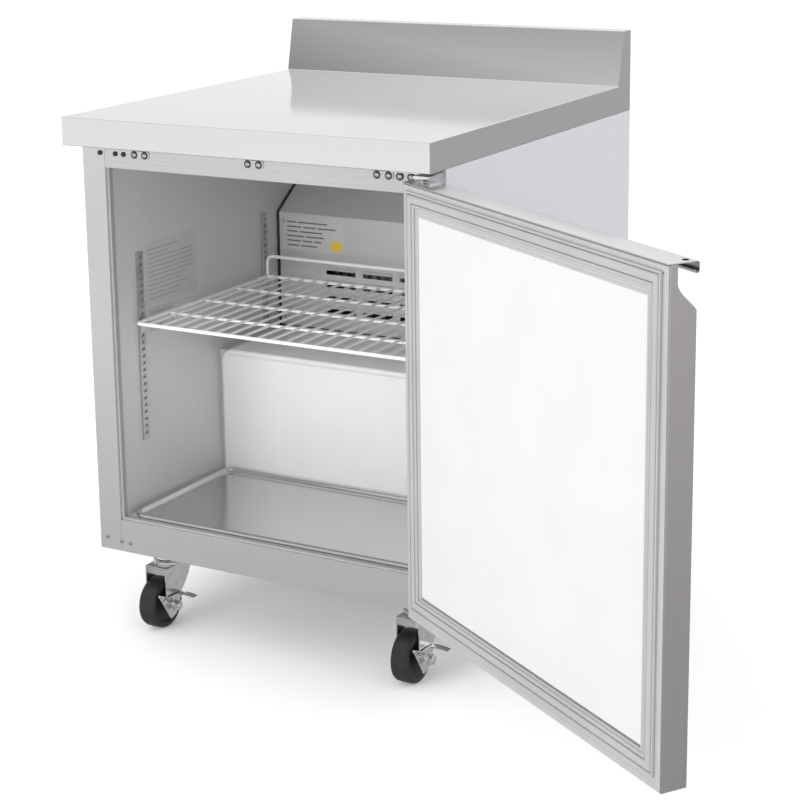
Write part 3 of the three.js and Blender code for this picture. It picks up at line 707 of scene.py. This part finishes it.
def build_knob():
    """Rear control knob: a fluted grip on a skirt with a pointer line."""
    x, z, near, far = 235, 350, 373.5, 380.8
    bm = bmesh.new()
    rings = []
    skirt = ((15.6, near), (15.8, near + 1.2), (13.6, near + 2))
    grip = ((12.8, far - 1), (11.8, far), (1, far))
    for radius, y in skirt + grip:
        ring = []
        for i in range(96):
            turn = 2 * math.pi * i / 96
            flute = 0.5 * math.cos(12 * turn) if near + 1.5 < y < far else 0
            ring.append((x + (radius + flute) * math.cos(turn), y, z + (radius + flute) * math.sin(turn)))
        rings.append(ring)
    add_loft(bm, rings)
    bm_piece(
        "control_knob", bm, CABINET, BLACK, "thermostat",
        replaces=("thermostat_knob",), slot="black_plastic",
    )
    bm = bmesh.new()
    add_box(bm, (x - 0.8, far - 0.4, z + 2), (x + 0.8, far + 0.15, z + 11))
    bm_piece("control_knob_pointer", bm, CABINET, WIRE_WHITE, "thermostat", bevel=0.1, segments=1)


def build_inlet():
    refined("power_inlet", CABINET, BLACK, "cabinet", bevel=0.8)
    bm = bmesh.new()
    for x, z in ((-245, 344), (-231, 344), (-238, 352)):
        add_box(bm, (x - 1, 378.6, z - 2), (x + 1, 380.4, z + 2))
    bm_piece("power_inlet_pins", bm, CABINET, CHROME, "cabinet", bevel=0.2, segments=1)
    spots = [(x, BACK, z) for x in (-320, 0, 320) for z in (408, 640, 862)]
    heads("rear_screws", spots, "y", ZINC, "cabinet", radius=4, height=2)


def build_hinges():
    refined("hinge_bracket_top", CABINET, CHROME, "cabinet", bevel=0.6)
    refined("hinge_bracket_bottom", CABINET, CHROME, "cabinet", bevel=0.6)
    top_screws = [(x, BRACKET_FACE, 867) for x in (266, 288)]
    bottom_screws = [(x, BRACKET_FACE, 161) for x in (291, 308)]
    heads("top_bracket_screws", top_screws, "-y", CHROME, "cabinet", radius=4.2, height=2.2)
    heads("bottom_bracket_screws", bottom_screws, "-y", CHROME, "cabinet", radius=5.0, height=1.5)


# ---------------------------------------------------------------- door


def out(distance):
    return HINGE_OUT - distance


def scoop_profile(inset):
    """Side outline of the leaf, from the inner top edge down: the pull is a smooth scoop."""
    inner, outer, scooped = out(DOOR_INNER), DOOR_OUTER - inset, SCOOP_INNER - inset
    shape = [(inner, DOOR_BOTTOM + inset), (out(outer), DOOR_BOTTOM + inset), (out(outer), SCOOP_BOTTOM)]
    steps = 14
    for i in range(1, steps + 1):
        t = i / steps
        quick_start = t * (1.9 - 0.9 * t)
        smooth = t * t * (3 - 2 * t)
        ease = 0.5 * (quick_start + smooth)
        depth = outer + (scooped - outer) * ease
        shape.append((out(depth), SCOOP_BOTTOM + (SCOOP_TOP - SCOOP_BOTTOM) * t))
    shape += [(out(scooped), DOOR_TOP - 2 - inset), (inner, DOOR_TOP - 2 - inset)]
    return shape


def build_door():
    left, right = DOOR_MIDDLE - DOOR_HALF, DOOR_MIDDLE + DOOR_HALF
    bm = bmesh.new()
    add_outline(bm, scoop_profile(0), "x", left, right)
    bm_piece(
        "door_outer_shell", bm, DOOR, DOOR_STEEL, "door",
        replaces=("door_skin", "door_foam"), slot="stainless", bevel=1.4, segments=4,
    )
    build_door_top()
    build_door_inner()


def build_door_top():
    """Bright top plate whose front edge curls down into a hooked finger lip."""
    left, right = DOOR_MIDDLE - DOOR_HALF, DOOR_MIDDLE + DOOR_HALF
    low, high = DOOR_TOP - 1.5, DOOR_TOP
    outer = [(50 + a, b) for a, b in arc((-4, high - 4), 4, 90, 0, 6)]
    outer += [(50 + a, b) for a, b in arc((-4.2, high - 12), 4.2, 0, -200, 12)]
    inner = [(50 + a, b) for a, b in arc((-4.2, high - 12), 2.8, -200, 0, 12)]
    inner += [(50 + a, b) for a, b in arc((-4, high - 4), 2.6, 0, 90, 6)]
    section = [(4, high)] + outer + inner + [(4, low)]
    bm = bmesh.new()
    add_outline(bm, [(out(t), z) for t, z in section], "x", left, right)
    bm_piece(
        "door_pull_plate", bm, DOOR, EDGE_STEEL, "door",
        replaces=("door_top_plate",), slot="stainless",
    )
    bushes = bmesh.new()
    for x in (0, 2 * DOOR_MIDDLE):
        ring = [(PIN_BORE, low - 1.6), (4.4, low - 1.6), (4.4, high - 0.2)]
        ring += [(4.8, high + 0.3), (3.6, high + 0.3), (PIN_BORE, high), (PIN_BORE, low - 1.6)]
        add_turned(bushes, ring, (x, 0, 0), "z", 40)
    add_turned(bushes, [(0, low), (3.4, low), (3.4, high), (0, high)], (2 * DOOR_MIDDLE, 0, 0), "z", 40)
    bm_piece("door_pin_bushes", bushes, DOOR, BLACK, "door")


def build_door_inner():
    half = DOOR_HALF - 1.8
    low, high = DOOR_BOTTOM + 1.8, DOOR_TOP - 3.8

    def level(height):
        return out(0) - height

    extrusion = [(0, 8.7), (0, 5.0), (1.2, 4.5), (8, 4.5), (9, 5.4), (10.5, 5.4), (11.5, 4.5)]
    extrusion += [(36, 4.5), (37, 5.6), (39, 5.6), (40, 4.5), (43.5, 4.5), (44.3, 5.2), (44.3, 8.7)]
    bm = bmesh.new()
    add_mitred_frame(bm, extrusion, half, low, high, DOOR_MIDDLE, level)
    bm_piece(
        "door_frame_extrusion", bm, DOOR, FRAME_GREY, "door",
        replaces=("door_inner_frame",), slot="grey_plastic", bevel=0.2, segments=2,
    )
    refined("door_liner_panel", DOOR, DOOR_WHITE, "door", bevel=0.6)

    seal = [(0, 4.2), (0, 2.4), (0.6, 1.2), (2.0, 0.6), (3.2, 0.8), (3.8, 1.8), (4.0, 3.9), (5.2, 3.9)]
    seal += [(5.4, 1.6), (6.4, 0.6), (8.6, 0.35), (15.0, 0.35), (16.6, 1.0), (17.0, 2.2), (17.1, 3.9)]
    seal += [(18.4, 3.9), (18.6, 2.0), (19.6, 1.2), (21.4, 1.1), (22.8, 1.9), (23.8, 3.0), (23.8, 4.2)]
    bm = bmesh.new()
    add_mitred_frame(bm, seal, 332, 175, 849, DOOR_MIDDLE, level)
    bm_piece(
        "door_magnetic_gasket", bm, DOOR, GASKET_GREY, "door",
        replaces=("door_gasket",), slot="gasket_vinyl",
    )


# ---------------------------------------------------------------- casters


def build_caster(place, braked):
    here = caster_frame(place)
    fork_body, wheel_body = f"caster_{place}", f"wheel_{place}"
    top = 144.7
    bm = bmesh.new()
    add_outline(bm, rounded_rectangle(-45, 45, -37, 37, 6), "z", top - 3, top)
    race_low = 121
    race = [(0, top - 3), (27, top - 3), (27.5, top - 6), (24, top - 9), (23, top - 14)]
    race += [(24.5, race_low), (0, race_low)]
    add_turned(bm, race, (0, 0, 0), "z", 56)
    bm_piece(
        f"caster_top_{place}", bm, here, CHROME, "cabinet",
        replaces=(f"caster_plate_{place}",), slot="bright_zinc", bevel=0.5, segments=2,
    )
    bolts = [(x, y, top - 3) for x in (-36, 36) for y in (-28, 28)]
    heads(
        f"caster_bolts_{place}", bolts, "-z", CHROME, "cabinet", here,
        radius=6.2, height=4.4, drive="hex",
    )
    build_fork(place, here, fork_body, braked)
    build_wheel(place, here, wheel_body)
    if braked:
        build_pedal(place, here)


def build_fork(place, here, body, braked):
    """Pressed steel yoke: domed race, flat crown, two legs with upright front edges, axle and nuts."""
    axle_y, axle_z = -CASTER_TRAIL, WHEEL_RADIUS
    front, back, crown = axle_y - 12, 38, 113
    inner, outer = WHEEL_HALF + 2.5, WHEEL_HALF + 5
    bm = bmesh.new()
    dome = [(0, 120.6), (22, 120.6), (26.5, 118.8), (28, 116.4), (28, crown - 0.4), (0, crown - 0.4)]
    add_turned(bm, dome, (0, 0, 0), "z", 56)
    leg = [(back, crown), (back, crown - 4), (back - 3, 98), (28, 84), (17, 70), (4, 57), (axle_y + 19, 47)]
    leg += arc((axle_y, axle_z), 13, -20, -160, 10)
    leg += [(front, axle_z + 4), (front, crown)]
    for side in (-1, 1):
        near, far = sorted((inner * side, outer * side))
        add_outline(bm, leg, "x", near, far)
    add_outline(bm, rounded_rectangle(-outer, outer, front, back, 4), "z", crown - 2.5, crown)
    bm_piece(
        f"caster_yoke_{place}", bm, here, CHROME, body,
        replaces=(f"caster_fork_{place}",), slot="bright_zinc", bevel=0.9, segments=3,
    )
    axle = bmesh.new()
    end = 44 if braked else 28
    centre = (0, axle_y, axle_z)
    shaft = [(0, -28), (4, -28), (4.5, -27.2), (4.5, end - 0.8), (4, end), (0, end)]
    add_turned(axle, shaft, centre, "x", 32)
    for low, high in ((-27.6, -22.4), (end - 8, end - 1.2)):
        nut = [(0, low), (8.2, low), (9, low + 0.6), (9, high - 0.6), (8.2, high), (0, high)]
        add_turned(axle, nut, centre, "x", 6)
    if braked:
        add_turned(axle, [(0, end - 10), (11.5, end - 10), (11.5, end - 8), (0, end - 8)], centre, "x", 40)
    bm_piece(f"caster_axle_{place}", axle, here, CHROME, body)


def build_wheel(place, here, body):
    """Hard tyre with a crowned tread, dished sides, web ring and hub."""
    half = WHEEL_HALF
    section = [
        (5.0, half), (10, half), (11.4, half - 0.6), (12, half - 2), (13, half - 5), (16, half - 6.4),
        (30, half - 6.4), (33, half - 5), (34.6, half - 2.4), (36, half - 0.8), (38, half),
        (41, half - 0.4), (43.4, half - 1.8), (44.7, half - 4.4), (45, half - 8), (45, 0),
    ]
    profile = [(radius, -along) for radius, along in section]
    profile += list(reversed(section[:-1])) + [(section[0][0], -half)]
    bm = bmesh.new()
    add_turned(bm, profile, (0, -CASTER_TRAIL, WHEEL_RADIUS), "x", 72)
    bm_piece(
        f"caster_tyre_{place}", bm, here, RUBBER, body,
        replaces=(f"caster_wheel_{place}",), slot="wheel_plastic",
    )


def build_pedal(place, here):
    """Butterfly brake plate on the axle's outer end with a turned-out foot pedal."""
    axle_y, axle_z = -CASTER_TRAIL, WHEEL_RADIUS
    near = WHEEL_HALF + 7
    plate = [(-38, 28), (-39, 24), (-8, -24), (-4, -26), (11, -21)]
    plate += [(13, -4), (33, 8), (34, 12.4), (10, 15), (-8, 15)]
    bm = bmesh.new()
    add_outline(bm, [(axle_y + y, axle_z + z) for y, z in plate], "x", near, near + 2.6)
    foot = [(near, 13), (near + 12, 13.6), (near + 24, 12.4), (near + 33, 10.4)]
    foot += [(near + 32.6, 9.2), (near + 24, 10.6), (near + 12, 11.4), (near, 10.8)]
    add_outline(bm, [(x, axle_z + z) for x, z in foot], "y", axle_y + 20, axle_y + 34)
    bm_piece(
        f"caster_pedal_{place}", bm, here, CHROME, f"brake_{place}",
        replaces=(f"brake_lever_{place}",), slot="bright_zinc", bevel=0.5, segments=2,
    )


# ---------------------------------------------------------------- studio


def studio_object(name, low, high, colour):
    """A flat matt panel that is part of the stage."""
    bm = bmesh.new()
    add_box(bm, low, high)
    mesh = bpy.data.meshes.new(name)
    bm.to_mesh(mesh)
    bm.free()
    panel = bpy.data.objects.new(name, mesh)
    bpy.context.scene.collection.objects.link(panel)
    m = Nodes(name)
    m.set(Roughness=0.9, Specular_IOR_Level=0.0, Emission_Strength=0.15, Emission_Color=(1, 1, 1, 1))
    m.shader.inputs["Base Color"].default_value = (*colour, 1)
    mesh.materials.append(m.material)
    return panel


def area_light(name, position, target, size, power):
    data = bpy.data.lights.new(name, "AREA")
    data.shape = "RECTANGLE"
    data.size, data.size_y = size
    data.energy = power
    lamp = bpy.data.objects.new(name, data)
    bpy.context.scene.collection.objects.link(lamp)
    lamp.location = CABINET_MIDDLE + Vector(position)
    aim = CABINET_MIDDLE + Vector(target) - lamp.location
    lamp.rotation_mode = "QUATERNION"
    lamp.rotation_quaternion = aim.to_track_quat("-Z", "Y")
    lamp.visible_glossy = False


def reflected_ramp(tree, height, stops):
    """Brightness that reflections see, by height of direction: -1 is straight down and 1 straight up."""
    ramp = tree.nodes.new("ShaderNodeValToRGB")
    elements = ramp.color_ramp.elements
    while len(elements) < len(stops):
        elements.new(0.5)
    for element, (level, value) in zip(elements, stops):
        element.position = (level + 1) / 2
        element.color = (value, value, value, 1)
    tree.links.new(height, ramp.inputs["Fac"])
    return ramp.outputs["Color"]


def remapped(tree, value, low, high):
    remap = tree.nodes.new("ShaderNodeMapRange")
    remap.inputs["From Min"].default_value = low
    remap.inputs["From Max"].default_value = high
    tree.links.new(value, remap.inputs["Value"])
    return remap.outputs["Result"]


def mixed(tree, share, first, second):
    mix = tree.nodes.new("ShaderNodeMix")
    mix.data_type = "RGBA"
    tree.links.new(share, mix.inputs["Factor"])
    tree.links.new(first, mix.inputs["A"])
    tree.links.new(second, mix.inputs["B"])
    return mix.outputs["Result"]


# Stops of (height of direction, brightness)
FRONT_WALL = (
    (-0.5, 0.34), (-0.34, 0.42), (-0.25, 0.9), (-0.17, 1.0), (-0.02, 0.78), (0.14, 0.3), (0.6, 0.9),
)
BACK_WALL = ((-0.5, 0.4), (-0.1, 0.44), (0.05, 0.8), (0.22, 1.0), (0.6, 1.0))


def build_world():
    """White surround. Polished steel sees bright and grey walls instead, as between studio flats."""
    world = bpy.data.worlds.new("studio")
    bpy.context.scene.world = world
    world.use_nodes = True
    tree = world.node_tree
    background = tree.nodes["Background"]
    split = tree.nodes.new("ShaderNodeSeparateXYZ")
    tree.links.new(tree.nodes.new("ShaderNodeTexCoord").outputs["Generated"], split.inputs["Vector"])
    height = remapped(tree, split.outputs["Z"], -1, 1)
    front = reflected_ramp(tree, height, FRONT_WALL)
    back = reflected_ramp(tree, height, BACK_WALL)
    walls = mixed(tree, remapped(tree, split.outputs["Y"], -0.25, 0.25), front, back)
    open_white = tree.nodes.new("ShaderNodeRGB")
    open_white.outputs["Color"].default_value = (1, 1, 1, 1)
    path = tree.nodes.new("ShaderNodeLightPath")
    surround = mixed(tree, path.outputs["Is Glossy Ray"], open_white.outputs["Color"], walls)
    tree.links.new(surround, background.inputs["Color"])
    background.inputs["Strength"].default_value = 1.0


def build_studio():
    build_world()
    floor = studio_object("studio_floor", (-40, -40, -0.02), (40, 40, -0.0002), (0.98, 0.98, 0.98))
    floor.visible_glossy = False
    area_light("key", (-1.8, -2.6, 3.0), (0, 0, 0.5), (2.4, 2.0), 8)
    area_light("cabin_fill", (-0.5, -2.4, 0.8), (-0.1, 0, 0.35), (1.2, 1.0), 17)
    bpy.context.scene.view_settings.view_transform = "Standard"


CAMERA_PLACE = Vector((1.7997, -3.0537, 1.3946))
CAMERA_YAW = math.radians(31.1)
CAMERA_PITCH = math.radians(-13.2)
CAMERA_ROLL = math.radians(-1.1)
LENS = 92.15
SHIFT = (0.075, -0.125)


def build_camera():
    data = bpy.data.cameras.new("camera")
    data.sensor_width = 36
    data.lens = LENS
    data.shift_x, data.shift_y = SHIFT
    camera = bpy.data.objects.new("camera", data)
    bpy.context.scene.collection.objects.link(camera)
    forward = Vector((
        -math.sin(CAMERA_YAW) * math.cos(CAMERA_PITCH),
        math.cos(CAMERA_YAW) * math.cos(CAMERA_PITCH),
        math.sin(CAMERA_PITCH),
    ))
    level = Vector((math.cos(CAMERA_YAW), math.sin(CAMERA_YAW), 0))
    upright = level.cross(forward)
    right = level * math.cos(CAMERA_ROLL) + upright * math.sin(CAMERA_ROLL)
    up = upright * math.cos(CAMERA_ROLL) - level * math.sin(CAMERA_ROLL)
    turn = Matrix((right, up, -forward)).transposed().to_4x4()
    camera.matrix_world = Matrix.Translation(CABINET_MIDDLE + CAMERA_PLACE) @ turn
    bpy.context.scene.camera = camera


build_camera()
build_studio()
build_worktop()
build_shell()
build_front_fasteners()
build_cabin()
build_standards()
build_shelf()
build_machine_bay()
build_hinges()
build_door()
for caster in CASTERS:
    build_caster(caster, braked=caster.startswith("front"))
